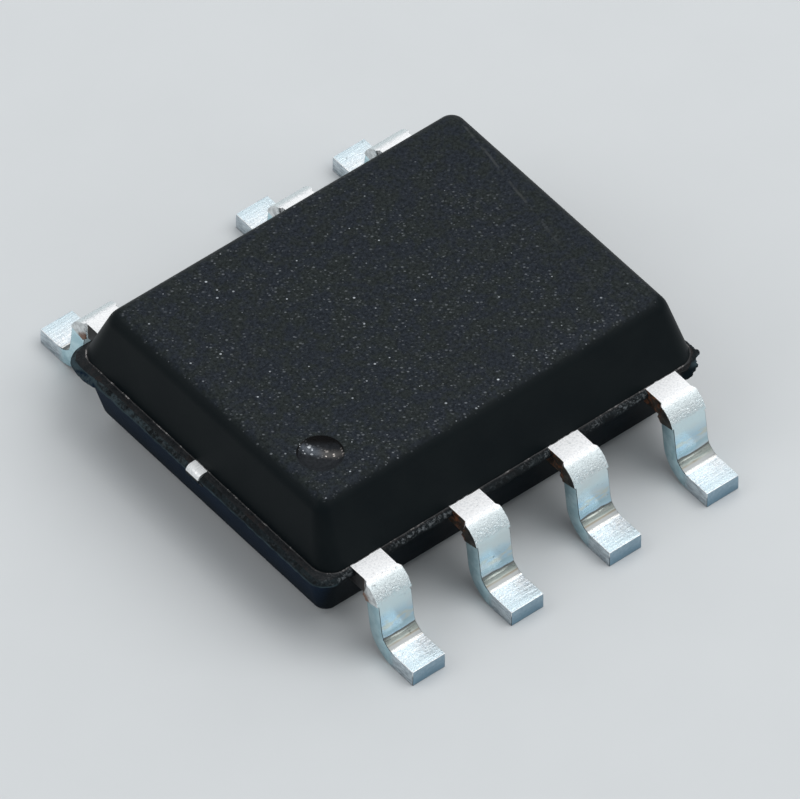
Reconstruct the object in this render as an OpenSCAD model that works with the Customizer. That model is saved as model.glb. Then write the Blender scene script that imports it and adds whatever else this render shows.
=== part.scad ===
// Small-outline surface-mount package, gull-wing leads on two sides, one lead position left empty.
// Millimetres. The origin is the middle of the two lead rows on the seating plane, +Z up.
// +X runs along the lead rows from position 1 to position 4, +Y from the row 1-4 to the row 8-5.

/* [Moulded body] */
// Length of the upper half where it meets the lower half
body_l = 4.82; // [4.74:0.01:4.90]
// Width of the upper half where it meets the lower half
body_w = 4.00; // [3.92:0.01:4.06]
// Height of the upper half above the parting plane
upper_h = 0.73; // [0.66:0.01:0.80]
// Height of the lower half below the parting plane
lower_h = 0.78; // [0.66:0.01:0.82]
// Gap between the seating plane and the underside of the body
standoff = 0.13; // [0.08:0.01:0.25]
// How far the upper half sits off the middle of the lead rows, towards position 4
upper_off_x = 0.01; // [0:0.005:0.04]
// How far the upper half sits off the middle of the lead rows, towards the row 8-5
upper_off_y = 0.01; // [0:0.005:0.02]
// Length of the lower half at the parting plane
lower_l = 4.89; // [4.84:0.01:4.94]
// Width of the lower half at the parting plane
lower_w = 4.01; // [3.96:0.01:4.06]
// How far the lower half sits off the middle of the lead rows, towards position 1
lower_off_x = 0.02; // [0:0.005:0.04]
// How far the lip along the parting plane stands out past the lower half
lip = 0.065; // [0.04:0.005:0.09]
// Thickness of the lip at its outer edge
lip_t = 0.04; // [0.02:0.01:0.06]
// Height of the slope under the lip, from its outer edge in to the lower half
lip_slope = 0.07; // [0.04:0.01:0.10]
// Draft of the short end faces of the upper half, degrees from upright
upper_end_draft = 12.5; // [5:0.5:16]
// Draft of the long side faces of the upper half, degrees from upright
upper_side_draft = 23; // [10:1:28]
// Draft of the short end faces of the lower half, degrees from upright
lower_end_draft = 13; // [5:1:16]
// Draft of the long side faces of the lower half, degrees from upright
lower_side_draft = 15; // [8:1:20]
// Radius of the rounded edge round the top face
top_edge_r = 0.20; // [0.10:0.01:0.24]
// Radius of the rounded edge round the underside
bottom_edge_r = 0.10; // [0.05:0.01:0.16]
// Radius of the four upright corners of both halves, at the parting plane
corner_r = 0.23; // [0.15:0.01:0.26]
// Radius of the same corners at the far face of each half
far_corner_r = 0.13; // [0.10:0.01:0.22]
// Radius of the corners of the lip
lip_r = 0.22; // [0.15:0.01:0.30]

/* [Position 1 dimple] */
// Width of the dimple at the top face
dimple_d = 0.47; // [0.36:0.01:0.60]
// Depth of the dimple
dimple_depth = 0.09; // [0.05:0.01:0.12]
// Distance from the short end of the upper half to the middle of the dimple
dimple_from_end = 0.61; // [0.60:0.01:0.90]
// Distance from the long side of the upper half to the middle of the dimple
dimple_from_side = 0.85; // [0.80:0.01:1.00]

/* [Leads] */
// Distance between neighbouring leads
pitch = 1.27; // [1.25:0.01:1.29]
// Overall width across the tips of the feet
span = 6.00; // [5.90:0.01:6.20]
// Width of a lead at its root
lead_w = 0.39; // [0.33:0.01:0.44]
// Width of a lead from the end of the stubs to the tip of its foot
foot_w = 0.415; // [0.35:0.005:0.45]
// Thickness of the sheet that the leads and the paddle are stamped from
lead_t = 0.20; // [0.15:0.01:0.24]
// Flat length of a lead between the upper half and its first bend
shoulder_l = 0.20; // [0.17:0.01:0.25]
// Inside radius of the bend at the shoulder
shoulder_r = 0.07; // [0.05:0.01:0.10]
// Inside radius of the bend above the foot
ankle_r = 0.19; // [0.12:0.01:0.22]
// Lean of the leg, degrees from upright
leg_lean = 8; // [3:1:12]
// What is left of the tie between leads, on each edge of the shoulder bend
dam_stub = 0.03; // [0.01:0.01:0.05]
// Angle on the shoulder bend where the stub starts, degrees up from level
dam_top_angle = 72; // [60:1:85]
// Angle on the shoulder bend where the stub ends, degrees up from level
dam_low_angle = 13; // [13:1:25]
// Length of the bonding pad at the inner end of a lead
pad_l = 0.50; // [0.40:0.01:0.55]
// Width of the bonding pad
pad_w = 0.80; // [0.70:0.01:0.90]
// How far the pads of the outer leads are set in towards the middle of the package
pad_shift = 0.20; // [0.15:0.01:0.25]
// Gap between the paddle and the bonding pads
pad_gap = 0.22; // [0.15:0.01:0.30]
// Hole through each pad, which the compound fills to lock the lead
lock_d = 0.22; // [0.15:0.01:0.26]
// Distance from the outer edge of a pad to the middle of its hole
lock_inset = 0.22; // [0.20:0.01:0.25]

/* [Paddle and die] */
// Length of the paddle that carries the die
paddle_l = 3.00; // [2.60:0.02:3.20]
// Width of the paddle
paddle_w = 1.70; // [1.50:0.02:1.80]
// Cut across each corner of the paddle
paddle_corner = 0.12; // [0.05:0.01:0.20]
// Drop of the paddle below the leads
downset = 0.20; // [0.12:0.01:0.25]
// Width of the two bars that held the paddle in the strip
tie_w = 0.20; // [0.16:0.01:0.26]
// Flat length of a tie bar between the paddle and its step
tie_flat = 0.22; // [0.15:0.01:0.30]
// Length of the die
die_l = 1.50; // [1.20:0.02:1.80]
// Width of the die
die_w = 1.10; // [0.90:0.02:1.20]
// Thickness of the die
die_t = 0.25; // [0.20:0.01:0.30]
// Thickness of the adhesive under the die
attach_t = 0.03; // [0.02:0.01:0.04]
// How far the adhesive is squeezed out past the die
attach_rim = 0.06; // [0.03:0.01:0.10]

/* [Bond wires] */
// Diameter of a bond wire
wire_d = 0.04; // [0.03:0.005:0.05]
// Diameter of the ball on the die
ball_d = 0.09; // [0.07:0.005:0.10]
// Height of the ball on the die
ball_h = 0.03; // [0.02:0.005:0.04]
// Height of the loop above the die
loop_h = 0.22; // [0.15:0.01:0.26]
// Distance from the edge of the die to the middle of a ball
ball_inset = 0.12; // [0.08:0.01:0.16]
// Distance from the inner edge of a pad to the end of its wire
stitch_inset = 0.14; // [0.10:0.01:0.18]

/* [Hidden] */

// Lead positions that are filled: [number, column along X, side of the package in Y]
LEADS = [[1, -1.5, -1], [2, -0.5, -1], [3, 0.5, -1], [4, 1.5, -1], [5, 1.5, 1], [6, 0.5, 1], [8, -1.5, 1]];
OUTER_COLUMN = 1.5;

parting = standoff + lower_h;          // height of the parting plane and of the top of the leads
body_top = parting + upper_h;
lip_l = lower_l + 2 * lip;
lip_w = lower_w + 2 * lip;
lip_h = lip_t + lip_slope;
lead_low = parting - lead_t;
pad_in = paddle_w / 2 + pad_gap;       // distance from the middle of the package to a pad's inner edge
pad_out = pad_in + pad_l;
paddle_top = parting - downset;
paddle_low = paddle_top - lead_t;
die_low = paddle_top + attach_t;
die_top = die_low + die_t;

// The gull wing in its own plane: u runs outward from the middle of the package, v is the height
shoulder_out = shoulder_r + lead_t;
ankle_out = ankle_r + lead_t;
shoulder_c = [body_w / 2 + shoulder_l, parting - shoulder_out];
across = [cos(leg_lean), sin(leg_lean)];       // from the leg's inner face to its outer face
along = [sin(leg_lean), -cos(leg_lean)];       // down the leg
leg_start = shoulder_c + shoulder_out * across;
leg_l = (leg_start[1] + ankle_r * across[1] - ankle_out) / cos(leg_lean);
ankle_c = leg_start + ankle_r * across + leg_l * along;

SLICE = 0.002;          // thickness of the slices that the halves are lofted through
ROOT = 0.05;            // depth that the upper half runs down into the lower half
NECK = 0.05;            // how far a lead runs on into its bonding pad
JOIN = 0.02;            // how far the ends of a leg are pointed into the bends that they meet
JOIN_TURN = 2;          // how far the outer part of a lead runs back up between the stubs, degrees
SINK = 0.005;           // how far the foot of the slope under the lip is set into the lower half
EDGE_STEPS = 7;         // slices over a rounded edge
RING = 8;               // sides of a bond wire
WIRE_STEPS = 12;        // rings along a bond wire's loop
WIRE_NECK = 1.5;        // height at which a wire leaves its ball, in ball heights
WIRE_RISE = 1.3;        // reach of the curve straight up from the ball, in loop heights
WIRE_FALL = 0.35;       // where the curve turns down to its pad, as a share of the level run
$fn = 96;

EPOXY = "#20242a";
TIN = "#c9cdd0";
COPPER = "#b87a4b";
SILVER_GLUE = "#9fa3a6";
SILICON = "#4b5563";
GOLD = "#e0b84a";

// How far a drafted face with a rounded far edge has drawn in at height h of its full height
function inset(h, height, draft, edge_r) =
    let (level = height - edge_r)
    h <= level + edge_r * sin(draft)
        ? h * tan(draft)
        : level * tan(draft) + edge_r / cos(draft) - sqrt(max(0, edge_r ^ 2 - (h - level) ^ 2));

// Four corner discs, l by w over their outsides and t thick, at height h
module corner_discs(l, w, r, h, t = SLICE)
    for (sx = [-1, 1])
        for (sy = [-1, 1])
            translate([sx * (l / 2 - r), sy * (w / 2 - r), h])
                cylinder(r = r, h = t, $fn = 32);

// One slice of a moulded half at height h
module half_slice(l, w, h, height, end_draft, side_draft, edge_r)
    corner_discs(l - 2 * inset(h, height, end_draft, edge_r), w - 2 * inset(h, height, side_draft, edge_r),
                 corner_r + (far_corner_r - corner_r) * h / height, min(h, height - SLICE));

// A drafted half with a rounded far edge: it stands on h = 0 and starts root below that
module half(l, w, height, end_draft, side_draft, edge_r, root = 0) {
    start = min(end_draft, side_draft);
    hull() {
        translate([0, 0, -root])
            half_slice(l, w, 0, height, end_draft, side_draft, edge_r);
        half_slice(l, w, 0, height, end_draft, side_draft, edge_r);
        for (i = [0 : EDGE_STEPS]) {
            angle = start + (90 - start) * i / EDGE_STEPS;
            half_slice(l, w, height - edge_r + edge_r * sin(angle), height, end_draft, side_draft, edge_r);
        }
    }
}

module upper_half()
    translate([upper_off_x, upper_off_y, parting])
        half(body_l, body_w, upper_h, upper_end_draft, upper_side_draft, top_edge_r, ROOT);

// The lower half, with the lip that stands out all round its parting plane
module lower_half()
    translate([-lower_off_x, 0, parting])
        mirror([0, 0, 1]) {
            half(lower_l, lower_w, lower_h, lower_end_draft, lower_side_draft, bottom_edge_r);
            foot_in = lip_h * tan(max(lower_end_draft, lower_side_draft)) + SINK;
            hull() {
                corner_discs(lip_l, lip_w, lip_r, 0, lip_t);
                corner_discs(lower_l - 2 * foot_in, lower_w - 2 * foot_in, lip_r, lip_h - SLICE);
            }
        }

// The ball whose cap is the dimple, over the corner at position 1
module dimple() {
    ball_r = ((dimple_d / 2) ^ 2 + dimple_depth ^ 2) / (2 * dimple_depth);
    translate([upper_off_x + dimple_from_end - body_l / 2, upper_off_y + dimple_from_side - body_w / 2,
               body_top - dimple_depth + ball_r])
        sphere(r = ball_r);
}

// The compound, moulded round everything else
module mould_body()
    color(EPOXY)
        difference() {
            union() {
                upper_half();
                lower_half();
            }
            dimple();
            die_paddle();
            die_attach();
            die();
            for (place = LEADS) {
                lead(place);
                bond_wire(place);
            }
        }

// Part of a ring in the plane of the gull wing, between two angles
module bend(centre, inner_r, outer_r, from, to)
    translate(centre)
        intersection() {
            difference() {
                circle(r = outer_r);
                circle(r = inner_r);
            }
            polygon([[0, 0],
                     2 * outer_r * [cos(from), sin(from)],
                     2 * outer_r * [cos((from + to) / 2), sin((from + to) / 2)],
                     2 * outer_r * [cos(to), sin(to)]]);
        }

// Side view of a lead's root, from its bonding pad to the end of the stubs
module root_profile() {
    translate([pad_out - NECK, lead_low])
        square([shoulder_c[0] - pad_out + NECK, lead_t]);
    bend(shoulder_c, shoulder_r, shoulder_out, dam_low_angle, 90);
}

// Side view of the rest of a lead, down to the tip of its foot
module foot_profile() {
    bend(shoulder_c, shoulder_r, shoulder_out, leg_lean, dam_low_angle + JOIN_TURN);
    polygon([leg_start, leg_start - lead_t / 2 * across - JOIN * along, leg_start - lead_t * across,
             leg_start - lead_t * across + leg_l * along,
             leg_start - lead_t / 2 * across + (leg_l + JOIN) * along, leg_start + leg_l * along]);
    bend(ankle_c, ankle_r, ankle_out, 180 + leg_lean, 270);
    translate([ankle_c[0], 0])
        square([span / 2 - ankle_c[0], lead_t]);
}

// Stands a side view up across a lead row, w wide
module across_row(w)
    rotate([90, 0, -90])
        linear_extrude(w, center = true)
            children();

// Where a lead's bonding pad sits along X
function pad_x(column) =
    abs(column) == OUTER_COLUMN ? sign(column) * (abs(column) * pitch - pad_shift) : column * pitch;

// One lead: its root and foot, the stubs of the cut tie and the pad inside the compound
module lead(place)
    scale([1, -place[2], 1])
        color(TIN) {
            translate([place[1] * pitch, 0, 0]) {
                across_row(lead_w)
                    root_profile();
                across_row(foot_w)
                    foot_profile();
                across_row(lead_w + 2 * dam_stub)
                    bend(shoulder_c, shoulder_r, shoulder_out, dam_low_angle, dam_top_angle);
            }
            translate([pad_x(place[1]), 0, lead_low])
                linear_extrude(lead_t)
                    difference() {
                        translate([-pad_w / 2, -pad_out])
                            square([pad_w, pad_l]);
                        translate([0, lock_inset - pad_out])
                            circle(d = lock_d);
                    }
        }

// Side view of a tie bar and its step down to the paddle; x runs outward to the cut at end
module tie_profile(end) {
    start = paddle_l / 2 - tie_flat;
    step = paddle_l / 2 + tie_flat;
    polygon([[start, paddle_low], [step, paddle_low], [step + downset, lead_low], [end, lead_low],
             [end, parting], [step + downset, parting], [step, paddle_top], [start, paddle_top]]);
}

// The paddle under the die, with the bar at each end that held it in the strip
module die_paddle()
    color(COPPER) {
        x = paddle_l / 2;
        y = paddle_w / 2;
        c = paddle_corner;
        translate([0, 0, paddle_low])
            linear_extrude(lead_t)
                polygon([[c - x, -y], [x - c, -y], [x, c - y], [x, y - c],
                         [x - c, y], [c - x, y], [-x, y - c], [-x, c - y]]);
        for (side = [-1, 1])
            scale([side, 1, 1])
                rotate([90, 0, 0])
                    linear_extrude(tie_w, center = true)
                        tie_profile(lip_l / 2 - side * lower_off_x);
    }

module die_attach()
    color(SILVER_GLUE)
        translate([-die_l / 2 - attach_rim, -die_w / 2 - attach_rim, paddle_top])
            cube([die_l + 2 * attach_rim, die_w + 2 * attach_rim, attach_t]);

module die()
    color(SILICON)
        translate([-die_l / 2, -die_w / 2, die_low])
            cube([die_l, die_w, die_t]);

// Point and direction on a cubic curve through four control points
function curve(p, t) =
    (1 - t) ^ 3 * p[0] + 3 * (1 - t) ^ 2 * t * p[1] + 3 * (1 - t) * t ^ 2 * p[2] + t ^ 3 * p[3];
function curve_way(p, t) =
    let (d = (1 - t) ^ 2 * (p[1] - p[0]) + 2 * (1 - t) * t * (p[2] - p[1]) + t ^ 2 * (p[3] - p[2]))
    d / norm(d);

// One ring of a wire that lies in an upright plane: run is the level way along it, way is its own way
function wire_ring(centre, r, run, way) =
    let (flat = [-run[1], run[0], 0], up = cross(flat, way))
    [for (i = [0 : RING - 1]) centre + r * (cos(360 * i / RING) * flat + sin(360 * i / RING) * up)];

// A closed skin over a list of rings
module skin(rings) {
    last = len(rings) - 1;
    polyhedron(
        points = [for (ring = rings) each ring],
        faces = concat(
            [[for (i = [RING - 1 : -1 : 0]) i]],
            [for (k = [0 : last - 1], i = [0 : RING - 1])
                let (j = (i + 1) % RING)
                each [[k * RING + i, (k + 1) * RING + j, (k + 1) * RING + i],
                      [k * RING + i, k * RING + j, (k + 1) * RING + j]]],
            [[for (i = [0 : RING - 1]) last * RING + i]]));
}

// A wire from a ball on the die, up over a loop and down to the pad of its lead
module bond_wire(place) {
    side = place[2];
    ball = [place[1] / OUTER_COLUMN * (die_l / 2 - ball_inset), side * (die_w / 2 - ball_inset), die_top];
    stitch = [pad_x(place[1]), side * (pad_in + stitch_inset), parting];
    level = [stitch[0] - ball[0], stitch[1] - ball[1], 0];
    run = level / norm(level);
    up = [0, 0, 1];
    neck = ball + WIRE_NECK * ball_h * up;
    fall = ball[2] - stitch[2] + loop_h;
    loop = [neck, neck + WIRE_RISE * loop_h * up, stitch - WIRE_FALL * level + fall * up, stitch];
    color(GOLD)
        skin(concat(
            [wire_ring(ball, ball_d / 2, run, up),
             wire_ring(ball + ball_h * up, ball_d / 2, run, up)],
            [for (k = [0 : WIRE_STEPS - 1])
                wire_ring(curve(loop, k / WIRE_STEPS), wire_d / 2, run, curve_way(loop, k / WIRE_STEPS))],
            [wire_ring(stitch, wire_d / 2, run, -up)]));
}

mould_body();
lead(LEADS[0]);  // lead_1
lead(LEADS[1]);  // lead_2
lead(LEADS[2]);  // lead_3
lead(LEADS[3]);  // lead_4
lead(LEADS[4]);  // lead_5
lead(LEADS[5]);  // lead_6
lead(LEADS[6]);  // lead_8
die_paddle();
die_attach();
die();
bond_wire(LEADS[0]);  // bond_wire_1
bond_wire(LEADS[1]);  // bond_wire_2
bond_wire(LEADS[2]);  // bond_wire_3
bond_wire(LEADS[3]);  // bond_wire_4
bond_wire(LEADS[4]);  // bond_wire_5
bond_wire(LEADS[5]);  // bond_wire_6
bond_wire(LEADS[6]);  // bond_wire_8
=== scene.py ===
"""Fine form, finish and studio for a small-outline chip package with gull-wing leads.

The pieces are shaped in millimetres and brought to metres when they are finished.
The outline sizes come from the frame, the section sizes are the named values below.
"""

import math
import random

import bmesh
import bpy
from mathutils import Matrix, Vector, noise


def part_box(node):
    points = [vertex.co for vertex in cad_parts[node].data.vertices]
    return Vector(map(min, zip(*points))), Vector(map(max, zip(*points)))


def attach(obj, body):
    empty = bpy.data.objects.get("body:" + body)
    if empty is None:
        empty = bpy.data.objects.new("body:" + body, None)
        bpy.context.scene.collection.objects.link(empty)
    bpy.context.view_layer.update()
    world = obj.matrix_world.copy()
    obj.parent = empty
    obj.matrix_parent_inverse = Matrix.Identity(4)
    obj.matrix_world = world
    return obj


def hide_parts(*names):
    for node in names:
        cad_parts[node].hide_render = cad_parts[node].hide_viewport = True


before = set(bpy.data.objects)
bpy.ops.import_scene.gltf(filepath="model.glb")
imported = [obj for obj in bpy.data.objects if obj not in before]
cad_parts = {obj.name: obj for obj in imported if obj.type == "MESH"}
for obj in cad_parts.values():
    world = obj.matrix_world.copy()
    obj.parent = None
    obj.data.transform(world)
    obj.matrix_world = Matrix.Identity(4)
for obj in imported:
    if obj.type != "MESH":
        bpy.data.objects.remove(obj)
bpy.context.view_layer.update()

MM = 0.001
UP = Vector((0, 0, 1))


def box_mm(node):
    """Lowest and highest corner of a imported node, in millimetres."""
    low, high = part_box(node)
    return low / MM, high / MM


# Mould, millimetres: middle, half size and corner radius of each outline at the parting plane
mould_low, mould_high = box_mm("mould_body")
PARTING = box_mm("lead_1")[1].z
UNDERSIDE, TOP = mould_low.z, mould_high.z
LIP_MID = (mould_low + mould_high) / 2
LIP_HALF = (mould_high - mould_low) / 2
LIP_R, LIP_OUT, LIP_FACE, LIP_H = 0.22, 0.065, 0.075, 0.11
LOWER_HALF = LIP_HALF - Vector((LIP_OUT, LIP_OUT, 0))
UPPER_MID = Vector((0.01, 0.01, 0))
UPPER_HALF = Vector((2.41, 2.00, 0))
CORNER_R, FAR_CORNER_R = 0.23, 0.13
UPPER_H, LOWER_H = TOP - PARTING, PARTING - UNDERSIDE
UPPER_DRAFTS = 12.5, 23                           # short ends and long sides, degrees from upright
LOWER_DRAFTS = 13, 15
TOP_EDGE_R, BOTTOM_EDGE_R = 0.20, 0.10
LEDGE_DROP = 0.006                                # the ledge lies this far under the top of the leads
DIMPLE_AT = UPPER_MID - UPPER_HALF + Vector((0.61, 0.85, TOP))
DIMPLE_R, DIMPLE_DEPTH, DIMPLE_LIP = 0.235, 0.09, 0.014

# Leads, millimetres
SHEET = 0.20
ROOT_W, FOOT_W = 0.39, 0.415
SHOULDER_AT = Vector((0, UPPER_HALF.y + 0.20, PARTING - 0.07 - SHEET))
SHOULDER_R, ANKLE_R = 0.07, 0.19
LEAN = 8
STUB, STUB_FROM, STUB_TO = 0.03, 80, 13           # depth, and angles up from level on the bend
TIP_Y = box_mm("lead_1")[0].y * -1
PAD_L, PAD_W, PAD_SHIFT, PAD_IN = 0.50, 0.80, 0.20, 1.07
LOCK_R, LOCK_INSET = 0.11, 0.22
PITCH = 1.27
LEADS = {1: (-1.5, -1), 2: (-0.5, -1), 3: (0.5, -1), 4: (1.5, -1), 5: (1.5, 1), 6: (0.5, 1), 8: (-1.5, 1)}


# ---------------------------------------------------------------- node helpers

def new_material(name):
    material = bpy.data.materials.new(name)
    material.use_nodes = True
    material.node_tree.nodes.clear()
    return material, Wiring(material.node_tree)


class Wiring:
    """Short calls to place nodes in one tree and join them."""

    def __init__(self, tree):
        self.tree = tree

    def node(self, kind, values=None, **settings):
        made = self.tree.nodes.new(kind)
        for key, value in settings.items():
            setattr(made, key, value)
        for key, value in (values or {}).items():
            if isinstance(value, bpy.types.NodeSocket):
                self.tree.links.new(value, made.inputs[key])
            else:
                made.inputs[key].default_value = value
        return made

    def link(self, source, target):
        self.tree.links.new(source, target)

    def math(self, operation, *values, clamp=False):
        made = self.node("ShaderNodeMath", dict(enumerate(values)), operation=operation, use_clamp=clamp)
        return made.outputs[0]

    def chain(self, operation, values, clamp):
        """Joins values from left to right. With clamp the last result stays between 0 and 1."""
        result = values[0]
        for count, value in enumerate(values[1:], 2):
            result = self.math(operation, result, value, clamp=clamp and count == len(values))
        return result

    def times(self, *values, clamp=False):
        return self.chain("MULTIPLY", values, clamp)

    def plus(self, *values, clamp=False):
        return self.chain("ADD", values, clamp)

    def minus(self, *values, clamp=False):
        return self.chain("SUBTRACT", values, clamp)

    def size(self, value):
        """A value without its sign."""
        return self.math("ABSOLUTE", value)

    def ramp(self, value, low, high, to_low=0.0, to_high=1.0, kind="SMOOTHSTEP"):
        return self.node("ShaderNodeMapRange", {0: value, 1: low, 2: high, 3: to_low, 4: to_high},
                         interpolation_type=kind).outputs[0]

    def mix(self, share, a, b):
        """Colour a, and b where share is 1. A plain colour is given by its red, green and blue."""
        values = {0: share, 6: a, 7: b}
        values.update({key: (*values[key], 1) for key in (6, 7) if isinstance(values[key], tuple)})
        return self.node("ShaderNodeMix", values, data_type="RGBA").outputs[2]

    def place(self):
        """Position on the piece, in millimetres: the vector and its three parts."""
        coord = self.node("ShaderNodeTexCoord")
        mapped = self.node("ShaderNodeMapping", {0: coord.outputs["Object"], 3: (1 / MM, 1 / MM, 1 / MM)})
        parts = self.node("ShaderNodeSeparateXYZ", {0: mapped.outputs[0]})
        return mapped.outputs[0], parts.outputs[0], parts.outputs[1], parts.outputs[2]

    def stretch(self, vector, scale):
        return self.node("ShaderNodeMapping", {0: vector, 3: scale}).outputs[0]

    def lay(self, vector, degrees, scale):
        """Stretches a texture along a level direction, so that its features are scale times as long there."""
        return self.node("ShaderNodeMapping", {0: vector, 2: (0, 0, math.radians(degrees)), 3: (scale, 1, 1)},
                         vector_type="TEXTURE").outputs[0]

    def use(self, tree, **values):
        return self.node("ShaderNodeGroup", {k.replace("_", " "): v for k, v in values.items()}, node_tree=tree)

    def noise(self, vector, scale, detail=3.0, rough=0.55):
        return self.node("ShaderNodeTexNoise", {"Vector": vector, "Scale": scale, "Detail": detail,
                                                "Roughness": rough}).outputs[0]

    def wander(self, vector, amount, scale, detail=3.0, rough=0.55):
        """A noise round zero, amount from end to end."""
        return self.times(self.minus(self.noise(vector, scale, detail, rough), 0.5), amount)

    def band(self, value, low, high, soft):
        """1 between low and high, fading over soft at both ends."""
        return self.times(self.ramp(value, low - soft, low + soft),
                          self.ramp(value, high - soft, high + soft, 1.0, 0.0))


def group(name, inputs, outputs):
    """An empty shared effect: its tree, and by name what goes into it and what it puts out."""
    tree = bpy.data.node_groups.new(name, "ShaderNodeTree")
    for way, labels in (("INPUT", inputs), ("OUTPUT", outputs)):
        for label in labels:
            kind = "NodeSocketVector" if label == "Place" else "NodeSocketFloat"
            tree.interface.new_socket(label, in_out=way, socket_type=kind)
    wires = Wiring(tree)
    return tree, wires, wires.node("NodeGroupInput").outputs, wires.node("NodeGroupOutput").inputs


def make_grain():
    """Fine eroded grain: a height, and patches that are a little rougher than the rest."""
    tree, w, get, put = group("mould_grain", ["Place", "Size"], ["Height", "Patch"])
    fine = w.noise(get["Place"], get["Size"], 2.0, 0.6)
    pits = w.node("ShaderNodeTexVoronoi", {"Vector": get["Place"], "Scale": get["Size"]})
    soft = w.ramp(pits.outputs["Distance"], 0.0, 0.7)
    w.link(w.plus(w.times(fine, 0.6), w.times(soft, 0.4)), put["Height"])
    w.link(w.ramp(w.noise(get["Place"], 2.2, 4.0), 0.35, 0.65), put["Patch"])
    return tree


def make_glints():
    """Painted glints of the filler grains in the skin of the compound: a mask of small streaks, each of its own
    strength.
    """
    tree, w, get, put = group("filler_glints", ["Place", "Cells", "Share", "Radius"], ["Mask"])
    cells = w.node("ShaderNodeTexVoronoi", {"Vector": get["Place"], "Scale": get["Cells"], "Randomness": 1.0})
    tone = w.node("ShaderNodeSeparateColor", {0: cells.outputs["Color"]})
    chosen = w.math("LESS_THAN", tone.outputs[0], get["Share"])
    radius = w.times(get["Radius"], w.ramp(tone.outputs[1], 0.0, 1.0, 0.45, 1.0))
    near = w.minus(1.0, w.math("DIVIDE", cells.outputs["Distance"], radius), clamp=True)
    strength = w.math("POWER", tone.outputs[2], 1.8)
    w.link(w.times(w.ramp(near, 0.0, 0.45), chosen, strength), put["Mask"])
    return tree


def make_rolled():
    """Fine lines across a lead, from the rolls and the forming tool, with a soft grain between them."""
    tree, w, get, put = group("tool_lines", ["Place", "Fine"], ["Lines", "Grain"])
    across = w.stretch(get["Place"], (0.06, 1.0, 1.0))
    w.link(w.noise(across, get["Fine"], 2.0, 0.7), put["Lines"])
    w.link(w.noise(get["Place"], get["Fine"], 3.0, 0.65), put["Grain"])
    return tree


GRAIN, GLINTS, TOOL_LINES = make_grain(), make_glints(), make_rolled()


def surface(w, base, rough, relief=None, **more):
    """Ends a material. Relief is a height, its strength and its depth in millimetres."""
    values = {"Base Color": base, "Roughness": rough}
    values.update({key.replace("_", " "): value for key, value in more.items()})
    if relief:
        height, strength, depth = relief
        values["Normal"] = w.node("ShaderNodeBump", {"Height": height, "Strength": strength,
                                                     "Distance": depth * MM}).outputs[0]
    shader = w.node("ShaderNodeBsdfPrincipled", values)
    w.link(shader.outputs[0], w.node("ShaderNodeOutputMaterial").inputs[0])


# ---------------------------------------------------------------- finishes of the compound

GLINT_WAY = -39            # level direction that the glints are drawn out along, degrees from +X
WITNESS_X, WITNESS_SLOPE = 1.935, 0.165           # the faint line across the top: x at y = 0, and x per y


def compound_top():
    """Skin of the compound on top and on its edges: grained and glinting above, smooth down the sides."""
    material, w = new_material("compound")
    at, x, y, z = w.place()
    flat = w.ramp(z, TOP - 0.052, TOP - 0.004)
    grain = w.use(GRAIN, Place=at, Size=30.0)
    mottle = w.noise(at, 28.0, 4.0, 0.80)
    # faint, fine and bold painted glints, most along the near edge and fewest in the far corner
    glints = []
    for length, cells, share, radius, strength in ((1.4, 32.0, 0.75, 0.42, 0.15), (1.4, 21.0, 0.90, 0.29, 0.52),
                                                   (1.2, 9.0, 0.45, 0.125, 1.1)):
        layer = w.use(GLINTS, Place=w.lay(at, GLINT_WAY, length), Cells=cells, Share=share, Radius=radius)
        glints.append(w.times(layer.outputs[0], strength))
    far = w.times(w.ramp(x, 1.3, 2.3, 1.0, 0.30), w.ramp(w.plus(x, y), 1.8, 3.6, 1.0, 0.25))
    near_edge = w.ramp(y, -1.25, -1.62, 0.0, 0.7)
    drift = w.ramp(w.noise(at, 1.3, 2.0), 0.34, 0.60, 0.45, 1.0)
    glint = w.times(w.plus(*glints), w.times(w.plus(drift, near_edge), w.times(far, flat)), clamp=True)
    # the smooth sides, and the top in cooler and warmer patches
    side = w.mix(grain.outputs["Patch"], (0.0038, 0.0066, 0.0080), (0.0052, 0.0082, 0.0094))
    pale = w.ramp(mottle, 0.36, 0.64)
    cool = w.mix(pale, (0.0054, 0.0084, 0.0122), (0.0205, 0.0260, 0.0345))
    warm = w.mix(pale, (0.0066, 0.0096, 0.0096), (0.0220, 0.0275, 0.0275))
    skin = w.mix(w.ramp(w.noise(at, 5.0, 4.0, 0.7), 0.40, 0.60), cool, warm)
    line = w.minus(x, w.times(y, WITNESS_SLOPE), WITNESS_X)
    line = w.size(w.plus(line, w.wander(at, 0.06, 1.5, 2.0)))
    witness = w.times(w.ramp(line, 0.006, 0.022, 1.0, 0.0), w.ramp(w.noise(at, 7.0, 3.0), 0.38, 0.60),
                      w.ramp(y, -1.4, 0.8, 0.12, 0.45))
    base = w.mix(flat, side, w.mix(witness, skin, (0.066, 0.070, 0.070)))
    # the glints are painted highlights: pale specks in the base colour
    base = w.mix(glint, base, (0.62, 0.66, 0.70))
    height = w.times(w.plus(grain.outputs["Height"], mottle), w.ramp(flat, 0.0, 1.0, 0.10, 0.8, "LINEAR"))
    surface(w, base, w.ramp(flat, 0.0, 1.0, 0.46, 0.60, "LINEAR"), (height, 0.5, 0.010),
            Specular_IOR_Level=w.ramp(flat, 0.0, 1.0, 0.075, 0.10))
    return material


def crumbs(w, at, base, *where):
    """Pale crumbs over a base colour, where the masks let them lie: the colour, and the mask of the crumbs."""
    mask = w.times(w.ramp(w.noise(at, 30.0, 4.0, 0.75), 0.48, 0.62),
                   w.ramp(w.noise(at, 2.6, 2.0), 0.36, 0.54, 0.15, 1.0), *where)
    return w.mix(w.times(mask, 0.9), base, (0.125, 0.138, 0.146)), mask


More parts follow.
